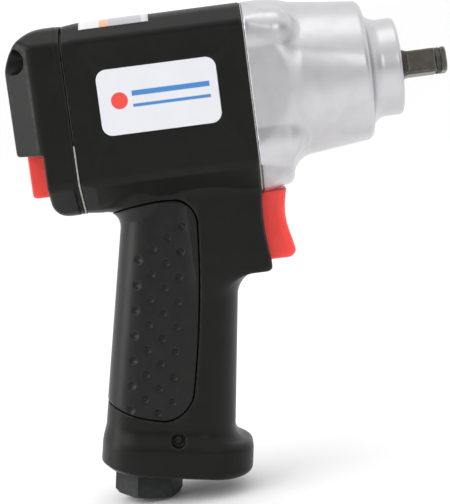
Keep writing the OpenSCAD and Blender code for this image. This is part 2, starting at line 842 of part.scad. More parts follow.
module hammer_cage() {
    color("#5d6064") difference() {
        bar_x(cage_rear_x, cage_front_x, cage_r);
        // Window for the dogs, which leaves a bar at each side
        bar_x(window_rear_x, window_front_x, bar_inner_r);
        for (low = [bar_half_h, -cage_r - past - bar_half_h])
            translate([window_rear_x, -window_half_w, low])
                cube([window_l, 2 * window_half_w, cage_r + past]);
        bar_x(cage_rear_x - past, cage_rear_x + 4.2, rotor_shaft_r + fit);
        bar_x(window_rear_x - pilot_l - 0.4, window_rear_x + past, pilot_r + gap);
        bar_x(window_front_x - past, cage_front_x + past, anvil_r + gap);
        for (s = [-1, 1]) translate([0, 0, s * hammer_pin_z])
            bar_x(cage_rear_x + 3, cage_front_x + past, hammer_pin_r + fit);
    }
}

module hammer_pins() {
    color("#a9abae") for (s = [-1, 1]) translate([0, 0, s * hammer_pin_z])
        bar_x(cage_rear_x + 3.1, cage_front_x - 0.2, hammer_pin_r);
}

// A swinging dog: a ring round the anvil, hung on one hammer pin
module dog(x0, side) {
    difference() {
        union() {
            bar_x(x0, x0 + dog_l, dog_r);
            translate([0, 0, side * hammer_pin_z]) bar_x(x0, x0 + dog_l, dog_lug_r);
        }
        bar_x(x0 - past, x0 + dog_l + past, dog_bore_r);
        translate([0, 0, side * hammer_pin_z]) bar_x(x0 - past, x0 + dog_l + past, hammer_pin_r + fit);
        // Relief that the other dog's pin passes through
        translate([0, 0, -side * hammer_pin_z]) bar_x(x0 - past, x0 + dog_l + past, dog_relief_r);
    }
}

module hammer_dog_front() {
    color("#6f7276") dog(window_front_x - gap - dog_l, 1);
}

module hammer_dog_rear() {
    color("#6f7276") dog(window_rear_x + gap, -1);
}

module rotor() {
    color("#808387") difference() {
        union() {
            bar_x(cylinder_rear_x + 2 * fit, cylinder_front_x - 2 * fit, rotor_r);
            bar_x(rear_bearing_x, cage_rear_x + 4, rotor_shaft_r);
        }
        for (i = [0:vane_count - 1]) rotate([i * 360 / vane_count, 0, 0])
            translate([cylinder_rear_x, -vane_t / 2 - fit, rotor_r - vane_h - 0.2])
                cube([cylinder_l, vane_t + 2 * fit, vane_h + past]);
    }
}

module rotor_vanes() {
    color("#6b4a2f") for (i = [0:vane_count - 1]) rotate([i * 360 / vane_count, 0, 0])
        translate([cylinder_rear_x + 3 * fit, -vane_t / 2, rotor_r - vane_h - 0.1])
            cube([cylinder_l - 6 * fit, vane_t, vane_h]);
}

// Square bar with its four edges rounded off, at the angle where the anvil rests
module drive_square(x0, x1) {
    intersection() {
        rotate([-drive_turn, 0, 0])
            translate([x0, -drive_af / 2, -drive_af / 2]) cube([x1 - x0, drive_af, drive_af]);
        bar_x(x0, x1, drive_af * 0.65);
    }
}

module anvil() {
    color("#4d4a48") difference() {
        union() {
            bar_x(window_rear_x - pilot_l, window_rear_x + past, pilot_r);
            bar_x(window_rear_x + 0.2, nose_x, anvil_r);
            // Two jaws that the dogs strike
            intersection() {
                bar_x(window_rear_x + gap, window_front_x - gap, jaw_r);
                translate([window_rear_x, -2 * anvil_r, -jaw_half_h])
                    cube([window_l, 4 * anvil_r, 2 * jaw_half_h]);
            }
            bar_x(nose_x - fit, nose_x + 3.7, anvil_r - 0.1, drive_af / 2);
            drive_square(nose_x + 0.5, -1);
            intersection() {
                drive_square(-1 - fit, 0);
                bar_x(-1 - fit, 0, drive_af * 0.65, drive_af * 0.5);
            }
        }
        translate([ring_x, 0, 0]) rotate([0, 90, 0]) rotate_extrude()
            translate([ring_groove_r, -ring_w / 2 - 0.1]) square([6, ring_w + 0.2]);
        bar_x(-4, past, 1.2);
    }
}

module friction_ring() {
    color("#3c3b3a") difference() {
        bar_x(ring_x - ring_w / 2, ring_x + ring_w / 2, ring_out_r);
        bar_x(ring_x - ring_w, ring_x + ring_w, ring_in_r);
        // Split of the ring
        translate([ring_x - ring_w, -0.5, 0]) cube([2 * ring_w, 1, 2 * ring_out_r]);
    }
}

module ring_o_ring() {
    color("#1b1b1b") translate([ring_x, 0, 0]) rotate([0, 90, 0]) rotate_extrude()
        translate([ring_groove_r + 0.4, 0]) circle(r = 0.36, $fn = 24);
}

motor_housing();
hammer_case();
rear_cover();
case_gasket();
rear_gasket();
soft_grip();
housing_screws();
screw_washers();
side_labels();
top_label();
cylinder_liner();  // cylinder
front_end_plate();
rear_end_plate();
dowel_pin();
color("#c3c5c8") race(front_bearing_x, race_outer_r, bearing_r);  // front_outer_race
color("#c3c5c8") race(rear_bearing_x, race_outer_r, bearing_r);  // rear_outer_race
anvil_bushing();
anvil_seal();
reverse_bushing();
detent_ball();
detent_spring();
trigger_bushing();
trigger_o_ring();
valve_seat();
throttle_spring();
inlet_bushing();
inlet_screen();
inlet_o_ring();
exhaust_deflector();
muffler_felt();
base_pin();
trigger();
trigger_rod();
throttle_valve();
reverse_lever();
reverse_valve();
lever_screw();
hammer_cage();
hammer_pins();
rotor();
rotor_vanes();
color("#c3c5c8") race(front_bearing_x, rotor_shaft_r + fit, race_inner_r);  // front_inner_race
color("#c3c5c8") race(rear_bearing_x, rotor_shaft_r + fit, race_inner_r);  // rear_inner_race
hammer_dog_front();
hammer_dog_rear();
anvil();
friction_ring();
ring_o_ring();
bearing_balls();
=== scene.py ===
"""An air impact wrench: its visible pieces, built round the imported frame.

Lengths are in metres. +X runs along the drive towards the socket, +Z is up, and the
origin is the centre of the square drive's tip. The moulded and cast pieces are written
as signed distances (negative inside), and surface_net() turns each into a closed mesh.
"""

import json
import math

import bpy
import numpy as np
from mathutils import Matrix, Vector


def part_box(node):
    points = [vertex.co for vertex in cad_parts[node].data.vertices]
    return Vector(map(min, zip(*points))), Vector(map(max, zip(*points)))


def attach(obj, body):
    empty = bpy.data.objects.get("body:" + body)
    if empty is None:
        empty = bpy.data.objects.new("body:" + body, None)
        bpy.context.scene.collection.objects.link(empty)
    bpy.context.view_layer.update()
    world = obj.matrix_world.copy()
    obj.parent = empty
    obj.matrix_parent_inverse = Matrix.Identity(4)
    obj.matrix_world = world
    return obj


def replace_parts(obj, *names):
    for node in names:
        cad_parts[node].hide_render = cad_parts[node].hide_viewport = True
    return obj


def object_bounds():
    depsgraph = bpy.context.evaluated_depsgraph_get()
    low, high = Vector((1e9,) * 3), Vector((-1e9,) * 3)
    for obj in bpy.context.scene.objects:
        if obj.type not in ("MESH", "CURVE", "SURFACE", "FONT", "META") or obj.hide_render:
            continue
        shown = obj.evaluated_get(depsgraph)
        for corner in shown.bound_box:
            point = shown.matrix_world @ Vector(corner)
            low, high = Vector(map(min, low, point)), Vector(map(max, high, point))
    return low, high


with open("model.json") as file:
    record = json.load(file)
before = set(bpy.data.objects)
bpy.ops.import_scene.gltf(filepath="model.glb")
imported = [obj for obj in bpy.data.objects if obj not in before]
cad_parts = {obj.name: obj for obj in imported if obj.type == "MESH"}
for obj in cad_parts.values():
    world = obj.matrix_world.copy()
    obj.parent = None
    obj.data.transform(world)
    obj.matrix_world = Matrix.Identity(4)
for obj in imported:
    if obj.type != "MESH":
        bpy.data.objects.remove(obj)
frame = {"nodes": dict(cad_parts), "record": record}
cad_low, cad_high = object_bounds()

MM = 0.001

# ---------------------------------------------------------------- stations and sizes

nose_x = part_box("hammer_case")[1].x
seam_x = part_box("hammer_case")[0].x
housing_front_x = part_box("case_gasket")[0].x
housing_rear_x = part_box("rear_gasket")[1].x
cover_front_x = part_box("rear_gasket")[0].x
rear_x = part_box("rear_cover")[0].x
half_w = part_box("case_gasket")[1].y
top_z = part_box("case_gasket")[1].z
bottom_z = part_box("case_gasket")[0].z
bore_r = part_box("cylinder")[1].z + 0.05 * MM

# Creases of the body's section
top_half_w = half_w - 10.5 * MM
low_half_w = half_w - 15 * MM
top_crease_z = top_z - 6.5 * MM
low_crease_z = bottom_z + 13 * MM
crease_r, low_crease_r, top_edge_r, bottom_edge_r = 1.3 * MM, 1.6 * MM, 2 * MM, 2.5 * MM

# The body draws in towards its rear seam over this length, by this share of it
draw_in_l, draw_in_share = 5.5 * MM, 0.13

# Housing screws, two above and two below the bore
screw_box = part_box("housing_screws")
screw_head_r = 4.3 * MM
screw_y = screw_box[1].y - screw_head_r
screw_z = screw_box[1].z - screw_head_r
screw_tip_x = screw_box[1].x
screw_seat_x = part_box("screw_washers")[1].x
screw_hole_r = 2.8 * MM
counterbore_r = 4.9 * MM

# The handle's own frame: v runs forward, u runs down the handle from the drive axis
inlet = next(m for m in frame["record"]["mounts"] if m["name"] == "air_inlet")
lean = math.atan2(-inlet["axis"][0], -inlet["axis"][2])
cos_lean, sin_lean = math.cos(lean), math.sin(lean)
inlet_v = -8 * MM
inlet_u = (-inlet["pos_m"][2] - inlet_v * sin_lean) / cos_lean
handle_x = inlet["pos_m"][0] - inlet_v * cos_lean + inlet_u * sin_lean
handle_half_w = 18 * MM
handle_corner_r = 15.1 * MM
handle_top = 20 * MM

# Skin in front of the axis and behind it: its distance at one u, that u, and its growth per metre down
front_skin, front_u, front_growth = 24.9 * MM, 76 * MM, 0.022
back_skin, back_u, back_growth = 22.5 * MM, 55 * MM, 0.044

# Flared foot, and the pin through it
foot_bottom = inlet_u - 3 * MM
foot_top = foot_bottom - 13.6 * MM
foot_front, foot_back = 33.8 * MM, 24.4 * MM
foot_half_w, foot_corner_r, foot_edge_r = 21 * MM, 17 * MM, 3.2 * MM
foot_fillet = 6 * MM
pin_v, pin_u, pin_r = 3.3 * MM, foot_bottom - 15.5 * MM, 1.55 * MM
pin_recess_r, pin_recess_y = 2.8 * MM, 17.6 * MM

# Ways through the handle
air_way_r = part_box("valve_seat")[1].y + 0.05 * MM
air_way_top, duct_r = 47 * MM, 4 * MM
exhaust_v, exhaust_y, exhaust_r = 13 * MM, 11 * MM, 3.5 * MM
outlet_v, outlet_half_l, outlet_half_w, outlet_h = 19.5 * MM, 9.5 * MM, 13 * MM, 7.3 * MM

# Soft grip, and its four columns of dimples
grip_t = 2 * MM
grip_front_v, grip_top_u, grip_bottom_u = 9.5 * MM, 40.4 * MM, 128.2 * MM
dimple_rows = (8, 8, 7, 7)
dimple_r, dimple_depth = 1.65 * MM, 0.95 * MM
dimple_v, dimple_u = 1.7 * MM, 50.3 * MM
column_step_v, column_step_u, row_step_u = 5.4 * MM, 4.7 * MM, 10 * MM

# Trigger and the strut it slides in
trigger_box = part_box("trigger")
strut_front_x = trigger_box[0].x + 8 * MM
strut_bottom_z = trigger_box[0].z - 3 * MM
strut_half_w = 16 * MM
trigger_half_w = trigger_box[1].y
trigger_mid_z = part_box("trigger_rod")[1].z - 2 * MM
trigger_hollow_r, trigger_hollow_depth = 26 * MM, 2.5 * MM
trigger_rod_r, rod_way_r = 2.05 * MM, 5.05 * MM
pocket_back_x = trigger_box[0].x - 7.5 * MM
strut_hollow_depth, strut_hollow_half_h = 1.2 * MM, 15 * MM

# Rear cover and reverse lever
lever_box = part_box("reverse_lever")
low_cover_x = lever_box[1].x + 1 * MM
low_cover_round_r = 7 * MM
pod_bottom_z = -15.4 * MM
pod_round_r = 18 * MM
plan_bevel = 11 * MM
counterbore_l = 9 * MM
lever_gap = 0.5 * MM
lever_hub_r = 12.5 * MM
lever_bore_r = 13 * MM
bushing_bore_r = 14.45 * MM
lever_half_w = 4.5 * MM
lever_slot_half_w = 16 * MM

# Hammer case
shoulder_x = nose_x - 12.7 * MM
barrel_front_r = 27.1 * MM
barrel_rear_r = 32.4 * MM
nose_r, nose_fillet = 19 * MM, 6 * MM
flange_l, flange_fillet = 13 * MM, 8 * MM
boss_r = 6.8 * MM
cavity_front_x = shoulder_x - 5.5 * MM
bushing_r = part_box("anvil_bushing")[1].y + 0.05 * MM

# Anvil
shaft_r, pilot_r, pilot_l = 7.9 * MM, 4.6 * MM, 3.4 * MM
jaw_half_t, jaw_r = 4 * MM, 9.4 * MM
square_af, square_corner_r = 9.525 * MM, 6.15 * MM
square_turn = math.radians(13)
ring_groove_r = 3.4 * MM

# Side label and top label
label_x, label_z = seam_x - 35 * MM, 1.4 * MM
label_half_l, label_half_h = 22.75 * MM, 12.5 * MM
label_corner_r = 4 * MM
label_depth = 0.4 * MM
top_label_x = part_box("top_label")[0].x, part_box("top_label")[1].x


# ---------------------------------------------------------------- signed distances

def join(a, b, r):
    """Union of two solids with a fillet of radius r."""
    fillet = np.hypot(np.maximum(r - a, 0), np.maximum(r - b, 0))
    return np.maximum(r, np.minimum(a, b)) - fillet


def keep(a, b, r):
    """Intersection of two solids with its edge rounded to radius r."""
    edge = np.hypot(np.maximum(r + a, 0), np.maximum(r + b, 0))
    return np.minimum(-r, np.maximum(a, b)) + edge


def cut(a, b, r=0.3 * MM):
    """Solid a with solid b taken out, and the new edge rounded to radius r."""
    return keep(a, -b, r)


def slab(t, low, high):
    """Space between two parallel planes."""
    return np.abs(t - (low + high) / 2) - (high - low) / 2


def round_rect(a, b, half_a, half_b, r):
    """Rectangle with round corners about the origin of a and b."""
    qa, qb = np.abs(a) - half_a + r, np.abs(b) - half_b + r
    return np.minimum(np.maximum(qa, qb), 0) + np.hypot(np.maximum(qa, 0), np.maximum(qb, 0)) - r


def bar_x(x, y, z, x0, x1, r):
    """Round bar along X between two stations."""
    return np.maximum(np.hypot(y, z) - r, slab(x, x0, x1))


def bevel_plane(p, q, p0, q0, p1, q1):
    """Distance beyond the line from (p0, q0) to (p1, q1), with the outside on its left."""
    length = math.hypot(p1 - p0, q1 - q0)
    return ((q0 - q1) * (p - p0) + (p1 - p0) * (q - q0)) / length


def body_outline(y, z, soft=1.0):
    """The motor body's section: flat top and sides, with a bevel at each corner. soft widens its edges."""
    y = np.abs(y)
    low_bevel = bevel_plane(y, z, half_w, low_crease_z, low_half_w, bottom_z)
    top_bevel = bevel_plane(y, z, top_half_w, top_z, half_w, top_crease_z)
    d = keep(y - half_w, top_bevel, crease_r * soft)
    d = keep(d, low_bevel, low_crease_r * soft)
    d = keep(d, z - top_z, top_edge_r * soft)
    return keep(d, bottom_z - z, bottom_edge_r * soft)


def handle_coords(x, z):
    """Distances forward of the handle's axis and down along it."""
    return ((x - handle_x) * cos_lean - z * sin_lean, -(x - handle_x) * sin_lean - z * cos_lean)


def handle_side(v, u, y):
    """The handle's skin, which deepens slightly towards the base."""
    front = front_skin + front_growth * (u - front_u)
    back = back_skin + back_growth * (u - back_u)
    return round_rect(v - (front - back) / 2, y, (front + back) / 2, handle_half_w, handle_corner_r)


def grip_zone(v, u):
    """Outline of the soft grip on the handle's sides, seen square to them."""
    # Each edge bows: its distance grows with the square of the distance from its middle
    front = v - grip_front_v + 1.2 * (u - 90 * MM) ** 2
    top = grip_top_u + 9 * (v - 2 * MM) ** 2 - u
    bottom = u - grip_bottom_u + 8.5 * (v + 1 * MM) ** 2
    return keep(keep(front, top, 8 * MM), bottom, 11 * MM)


def grip_dimples(v, u):
    """How far the grip's rows of dimples sink its skin."""
    column_lean = 0.018
    sink = np.zeros(np.broadcast(v, u).shape)
    for column, rows in enumerate(dimple_rows):
        for row in range(rows):
            u0 = dimple_u + column_step_u * column + row_step_u * row
            v0 = dimple_v - column_step_v * column - column_lean * (u0 - 50 * MM)
            near = 1 - ((v - v0) ** 2 + (u - u0) ** 2) / dimple_r ** 2
            sink += dimple_depth * np.maximum(near, 0) ** 1.1
    return sink


def screw_bores(x, y, z, x0, x1, r):
    """Four bores on the housing screws' axes."""
    return np.maximum(np.hypot(np.abs(y) - screw_y, np.abs(z) - screw_z) - r, slab(x, x0, x1))


def side_label_area(x, z, grow):
    return round_rect(x - label_x, z - label_z, label_half_l + grow, label_half_h + grow,
                      label_corner_r + grow)


def housing_outside(x, y, z):
    """Outer skin of the motor housing, its handle, foot and trigger strut."""
    v, u = handle_coords(x, z)
    # Body, drawn in slightly towards its rear seam
    draw_in = draw_in_share * np.maximum(housing_rear_x + draw_in_l - x, 0)
    body = keep(body_outline(y, z) + draw_in, slab(x, housing_rear_x, housing_front_x), 0.5 * MM)
    # Handle and flared foot
    handle = np.maximum(handle_side(v, u, y), slab(u, handle_top, foot_bottom - 4 * MM))
    foot_middle, foot_half_l = (foot_front - foot_back) / 2, (foot_front + foot_back) / 2
    foot = round_rect(v - foot_middle, y, foot_half_l, foot_half_w, foot_corner_r)
    foot = keep(foot, slab(u, foot_top, foot_bottom), foot_edge_r)
    handle = join(handle, foot, foot_fillet)
    # Strut under the body, hollowed a little at the front
    hollow = strut_hollow_depth * np.maximum(1 - ((z - trigger_mid_z) / strut_hollow_half_h) ** 2, 0)
    strut = keep(x - strut_front_x + hollow, np.abs(y) - strut_half_w, 3 * MM)
    strut = keep(strut, strut_bottom_z - z, 1.8 * MM)
    strut = np.maximum(strut, np.maximum(z - bottom_z - 8 * MM, handle_x - x))
    strut = np.maximum(strut, np.minimum(x - housing_front_x, z - bottom_z + 0.2 * MM))
    # The fillet under the body widens behind the handle
    fillet = 2 * MM + 6 * MM * np.clip((handle_x - 14 * MM - x) / (8 * MM), 0, 1)
    return join(body, join(handle, strut, 9 * MM), fillet)


def housing(x, y, z):
    """Motor housing, with its recesses and bores."""
    past = 2 * MM
    v, u = handle_coords(x, z)
    shell = housing_outside(x, y, z)
    # Recess for the soft grip, and its groove
    recess = np.maximum(-(handle_side(v, u, y) + grip_t + 0.2 * MM), grip_zone(v, u) - 0.4 * MM)
    shell = cut(shell, recess, 0.35 * MM)
    # Shallow recess for each side label
    film = np.maximum(side_label_area(x, z, 0.35 * MM), half_w - label_depth - np.abs(y))
    shell = cut(shell, film, 0.1 * MM)
    # Motor bore, screw bores, trigger pocket, air way and exhaust ways
    shell = cut(shell, bar_x(x, y, z, housing_rear_x - past, housing_front_x + past, bore_r))
    shell = cut(shell, screw_bores(x, y, z, housing_rear_x - past, housing_front_x + past, screw_hole_r))
    pocket = np.maximum(np.abs(y) - trigger_half_w - 0.3 * MM, slab(x, pocket_back_x, strut_front_x + past))
    pocket = np.maximum(pocket, slab(z, trigger_box[0].z - 0.5 * MM, trigger_box[1].z + 0.3 * MM))
    shell = cut(shell, pocket, 0.5 * MM)
    rod_back_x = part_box("trigger_bushing")[0].x
    shell = cut(shell, bar_x(x, y, z - trigger_mid_z, rod_back_x, pocket_back_x + past, rod_way_r))
    from_air_axis = np.hypot(v - inlet_v, y)
    shell = cut(shell, np.maximum(from_air_axis - air_way_r, slab(u, air_way_top, foot_bottom + past)))
    shell = cut(shell, np.maximum(from_air_axis - duct_r, slab(u, handle_top, air_way_top + past)))
    exhaust = np.hypot(v - exhaust_v, np.abs(y) - exhaust_y) - exhaust_r
    shell = cut(shell, np.maximum(exhaust, slab(u, handle_top, foot_bottom - 8 * MM)))
    outlet = round_rect(v - outlet_v, y, outlet_half_l, outlet_half_w, 4 * MM)
    shell = cut(shell, np.maximum(outlet, slab(u, foot_bottom - outlet_h, foot_bottom + past)))
    # Pin through the foot, sunk in a round recess at each side
    from_pin = np.hypot(v - pin_v, u - pin_u)
    shell = cut(shell, from_pin - pin_r)
    return cut(shell, np.maximum(from_pin - pin_recess_r, pin_recess_y - np.abs(y)), 0.4 * MM)


def soft_grip(x, y, z):
    """Rubber pad round the back of the handle, flush with it, with rows of dimples."""
    v, u = handle_coords(x, z)
    surface = housing_outside(x, y, z) - 0.2 * MM + grip_dimples(v, u)
    pad = keep(surface, grip_zone(v, u), 0.8 * MM)
    return keep(pad, -(handle_side(v, u, y) + grip_t), 0.2 * MM)


def hammer_case(x, y, z):
    """Cast case: squared at the seam, flowing into a tapered barrel and a round nose."""
    past = 2 * MM
    r = np.hypot(y, z)
    # The squared section's edges are crisp at the seam and grow rounder forward of it
    soft = 1 + 2.6 * np.clip((x - seam_x - 1.5 * MM) / (8 * MM), 0, 1)
    outline = body_outline(y, z, soft)
    slope = (barrel_rear_r - barrel_front_r) / (shoulder_x - seam_x)
    barrel = (r - barrel_rear_r + slope * (x - seam_x)) / math.hypot(1, slope)
    barrel = keep(barrel, x - shoulder_x, 2.4 * MM)
    # Squared flange, whose chin stands in front of the trigger
    flange = keep(outline, x - seam_x - flange_l, 4 * MM)
    case = keep(join(barrel, flange, flange_fillet), outline, 1.05 * MM * (soft - 0.8))
    # Round-ended bosses for the four screws
    boss_end = screw_tip_x - 1 * MM
    across = np.hypot(np.abs(y) - screw_y, np.abs(z) - screw_z)
    boss = np.hypot(across, np.maximum(x - boss_end, 0)) - boss_r
    case = join(case, boss, 3 * MM)
    case = keep(case, seam_x - x, 0.35 * MM)
    nose = keep(r - nose_r, x - nose_x, 1.6 * MM)
    case = join(case, np.maximum(nose, shoulder_x - 2 * MM - x), nose_fillet)
    case = cut(case, bar_x(x, y, z, seam_x - past, cavity_front_x, bore_r))
    case = cut(case, bar_x(x, y, z, cavity_front_x - past, nose_x + past, bushing_r), 0.5 * MM)
    return cut(case, screw_bores(x, y, z, seam_x - past, screw_tip_x + 0.5 * MM, 2.55 * MM))


def rear_cover(x, y, z):
    """Rear cover: an upper pod that overhangs the reverse lever, and a lower part in front of it."""
    past = 2 * MM
    wide = np.abs(y)
    outline = body_outline(y, z) + 0.35 * MM * (x > cover_front_x - 1.8 * MM)
    pod = keep(rear_x - x, pod_bottom_z - z, 1.6 * MM)
    low = low_cover_x - x
    profile = join(pod, low, 1 * MM)
    profile = keep(profile, keep(rear_x - x, z - top_z, pod_round_r), 0.5 * MM)
    # The lower part's round corner, which leaves the pod alone
    corner = keep(low_cover_x - x, bottom_z - z, low_cover_round_r) - 100 * (z > pod_bottom_z)
    profile = keep(profile, corner, 0.1 * MM)
    plan = (wide - half_w + rear_x + plan_bevel - x) / math.sqrt(2)
    cover = keep(keep(outline, profile, 1.2 * MM), plan, 1.2 * MM)
    cover = keep(cover, x - cover_front_x, 0.4 * MM)
    # Bores for the valve bushing and the lever's hub, and the slot that the lever swings in
    cover = cut(cover, bar_x(x, y, z, low_cover_x, cover_front_x + past, bushing_bore_r))
    slot_back_x = lever_box[0].x - lever_gap
    cover = cut(cover, bar_x(x, y, z, slot_back_x, low_cover_x + past, lever_bore_r))
    slot = np.maximum(wide - lever_slot_half_w, slab(x, slot_back_x, low_cover_x))
    cover = cut(cover, np.maximum(slot, slab(z, pod_bottom_z - 8 * MM, 0)), 0.4 * MM)
    cover = cut(cover, screw_bores(x, y, z, screw_seat_x - past, cover_front_x + past, screw_hole_r))
    return cut(cover, screw_bores(x, y, z, rear_x - counterbore_l, screw_seat_x, counterbore_r), 0.7 * MM)


def gasket(x0, x1, inner_r, deep):
    """Thin sheet between two castings, cut inside their outline and deeper in its upper part."""
    def solid(x, y, z):
        inset = 0.3 * MM + deep * (z > -13 * MM)
        sheet = keep(body_outline(y, z) + inset, slab(x, x0, x1), 0.1 * MM)
        sheet = np.maximum(sheet, inner_r - np.hypot(y, z))
        return np.maximum(sheet, -screw_bores(x, y, z, x0 - MM, x1 + MM, screw_hole_r))
    return solid


def trigger(x, y, z):
    """Finger blade with a hollow face and a round lower lip."""
    low, high = trigger_box
    blade = keep(x - high.x, low.z - z, 3.4 * MM)
    hollow_x = high.x - trigger_hollow_depth + trigger_hollow_r
    hollow = np.hypot(x - hollow_x, z - trigger_mid_z - 0.6 * MM) - trigger_hollow_r
    blade = cut(blade, hollow, 2.2 * MM)
    blade = keep(blade, np.abs(y) - trigger_half_w, 3.6 * MM)
    blade = keep(blade, np.maximum(low.x - x, z - high.z), 0.4 * MM)
    rod = bar_x(x, y, z - trigger_mid_z, low.x - MM, low.x + 5 * MM, trigger_rod_r)
    return cut(blade, rod, 0.2 * MM)


def reverse_lever(x, y, z):
    """Round hub with a flat blade that hangs below the pod."""
    low, high = lever_box
    edge = 0.9 * MM
    thick = slab(x, low.x, high.x)
    hub = keep(np.hypot(y, z) - lever_hub_r, thick, 0.4 * MM)
    blade = keep(keep(np.abs(y) - lever_half_w, low.z - z, 1.6 * MM), thick, edge)
    blade = keep(blade, keep(low.x - x, low.z - z, 2.4 * MM), edge)
    lever = join(hub, np.maximum(blade, z), 1.5 * MM)
    return cut(lever, np.hypot(y, z) - 1.8 * MM)


def anvil(x, y, z):
    """Round shaft with two jaws behind, and a square drive with a ring groove in front."""
    low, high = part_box("anvil")
    ring_low, ring_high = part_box("friction_ring")
    r = np.hypot(y, z)
    cos_turn, sin_turn = math.cos(square_turn), math.sin(square_turn)
    across, along = y * cos_turn - z * sin_turn, y * sin_turn + z * cos_turn
    pilot_end = low.x + pilot_l
    pilot = np.maximum(r - pilot_r, slab(x, low.x, pilot_end + MM))
    shaft = np.maximum(r - shaft_r, slab(x, pilot_end, nose_x + 0.9 * MM))
    jaws = np.maximum(np.abs(z) - jaw_half_t, r - jaw_r)
    jaws = np.maximum(jaws, slab(x, pilot_end + 0.5 * MM, cavity_front_x - 6.5 * MM))
    flats = keep(np.abs(across) - square_af / 2, np.abs(along) - square_af / 2, 0.6 * MM)
    square = keep(flats, r - square_corner_r, 0.4 * MM)
    square = keep(square, keep(x - high.x, r + (x - high.x) - 5.3 * MM, 0.5 * MM), 0.3 * MM)
    square = np.maximum(square, nose_x - x)
    bar = join(join(shaft, square, 3.4 * MM), np.minimum(pilot, jaws), 0.2 * MM)
    groove = np.maximum(slab(x, ring_low.x - 0.15 * MM, ring_high.x + 0.15 * MM), ring_groove_r - r)
    bar = cut(bar, groove, 0.25 * MM)
    return cut(bar, np.maximum(r - 1.2 * MM, high.x - 4 * MM - x), 0.3 * MM)


# ---------------------------------------------------------------- meshing

def surface_points(field, cells):
    """The middle of the surface's crossings in each cell, in cell widths from the grid's corner."""
    total = np.zeros((len(cells[0]), 3))
    hits = np.zeros(len(cells[0]))
    for axis in range(3):
        a, b = [n for n in range(3) if n != axis]
        for step_a, step_b in ((0, 0), (0, 1), (1, 0), (1, 1)):
            corner = [0, 0, 0]
            corner[a], corner[b] = step_a, step_b
            start = field[tuple(c + o for c, o in zip(cells, corner))]
            corner[axis] = 1
            end = field[tuple(c + o for c, o in zip(cells, corner))]
            crossed = (start < 0) != (end < 0)
            place = np.array(corner, float) * np.ones((len(start), 1))
            place[:, axis] = start / np.where(crossed, start - end, 1)
            total += place * crossed[:, None]
            hits += crossed
    return total / hits[:, None] + np.stack(cells, 1)


def surface_quads(inside, index):
    """One quad round each grid edge that the surface crosses, facing outwards."""
    quads = []
    for axis in range(3):
        order = (axis, (axis + 1) % 3, (axis + 2) % 3)
        solid, cell = inside.transpose(order), index.transpose(order)
        start, end = solid[:-1, 1:-1, 1:-1], solid[1:, 1:-1, 1:-1]
        ring = np.stack([cell[:, :-1, :-1], cell[:, 1:, :-1], cell[:, 1:, 1:], cell[:, :-1, 1:]], -1)
        quads.append(ring[start & ~end])
        quads.append(ring[end & ~start][:, ::-1])
    return np.concatenate(quads)


def settle(solid, points, reach, rounds):
    """Points moved onto the solid's surface along its gradient."""
    small = 0.02 * MM
    for _ in range(rounds):
        x, y, z = points.T
        d = solid(x, y, z)
        slope = np.stack([solid(x + small, y, z) - solid(x - small, y, z),
                          solid(x, y + small, z) - solid(x, y - small, z),
                          solid(x, y, z + small) - solid(x, y, z - small)], 1) / (2 * small)
        steep = np.maximum((slope ** 2).sum(1), 0.05)
        move = -slope * (d / steep)[:, None]
        far = np.maximum(np.linalg.norm(move, axis=1) / reach, 1)
        points = points + move / far[:, None]
    return points


def relax(points, quads):
    """Each point halfway to the mean of its neighbours."""
    a = quads.ravel()
    b = np.roll(quads, -1, 1).ravel()
    count = np.bincount(a, minlength=len(points)) + np.bincount(b, minlength=len(points))
    mean = np.empty_like(points)
    for axis in range(3):
        mean[:, axis] = (np.bincount(a, points[b, axis], len(points))
                         + np.bincount(b, points[a, axis], len(points))) / count
    return (points + mean) / 2


def surface_net(solid, low, high, step):
    """Points and quads of a closed mesh round a solid, which lies inside the box."""
    step = np.broadcast_to(np.asarray(step, float), 3) * 1
    axes = [np.arange(a - 2 * s, b + 3 * s, s) for a, b, s in zip(low, high, step)]
    x, y, z = np.ix_(*axes)
    field = np.ascontiguousarray(np.broadcast_to(solid(x, y, z), [len(a) for a in axes]))
    inside = field < 0
    corners = [inside[i:len(axes[0]) - 1 + i, j:len(axes[1]) - 1 + j, k:len(axes[2]) - 1 + k]
               for i in (0, 1) for j in (0, 1) for k in (0, 1)]
    cell = np.logical_or.reduce(corners) & ~np.logical_and.reduce(corners)
    index = np.full(cell.shape, -1)
    index[cell] = np.arange(np.count_nonzero(cell))
    corner = np.array([a[0] for a in axes])
    points = corner + step * surface_points(field, np.nonzero(cell))
    quads = surface_quads(inside, index)
    reach = 0.6 * step.min()
    points = settle(solid, points, reach, 2)
    points = settle(solid, relax(points, quads), reach, 2)
    return points, quads


def mesh_object(name, points, faces):
    mesh = bpy.data.meshes.new(name)
    mesh.from_pydata(points, [], faces)
    mesh.polygons.foreach_set("use_smooth", [True] * len(mesh.polygons))
    mesh.update()
    piece = bpy.data.objects.new(name, mesh)
    bpy.context.scene.collection.objects.link(piece)
    return piece


def with_modifier(piece, kind, **settings):
    """Applies one modifier to a piece."""
    modifier = piece.modifiers.new(kind.lower(), kind)
    for key, value in settings.items():
        setattr(modifier, key, value)
    graph = bpy.context.evaluated_depsgraph_get()
    mesh = bpy.data.meshes.new_from_object(piece.evaluated_get(graph))
    piece.modifiers.clear()
    piece.data = mesh
    return piece


def shape(name, solid, low, high, step, most_faces):
    """A mesh piece for a solid, thinned to at most the given number of triangles."""
    points, quads = surface_net(solid, low, high, step)
    piece = mesh_object(name, points.tolist(), quads.tolist())
    ratio = most_faces / (2 * len(quads))
    if ratio < 1:
        with_modifier(piece, "DECIMATE", ratio=ratio)
        piece.data.polygons.foreach_set("use_smooth", [True] * len(piece.data.polygons))
    return with_modifier(piece, "WEIGHTED_NORMAL", weight=80)


# ---------------------------------------------------------------- materials

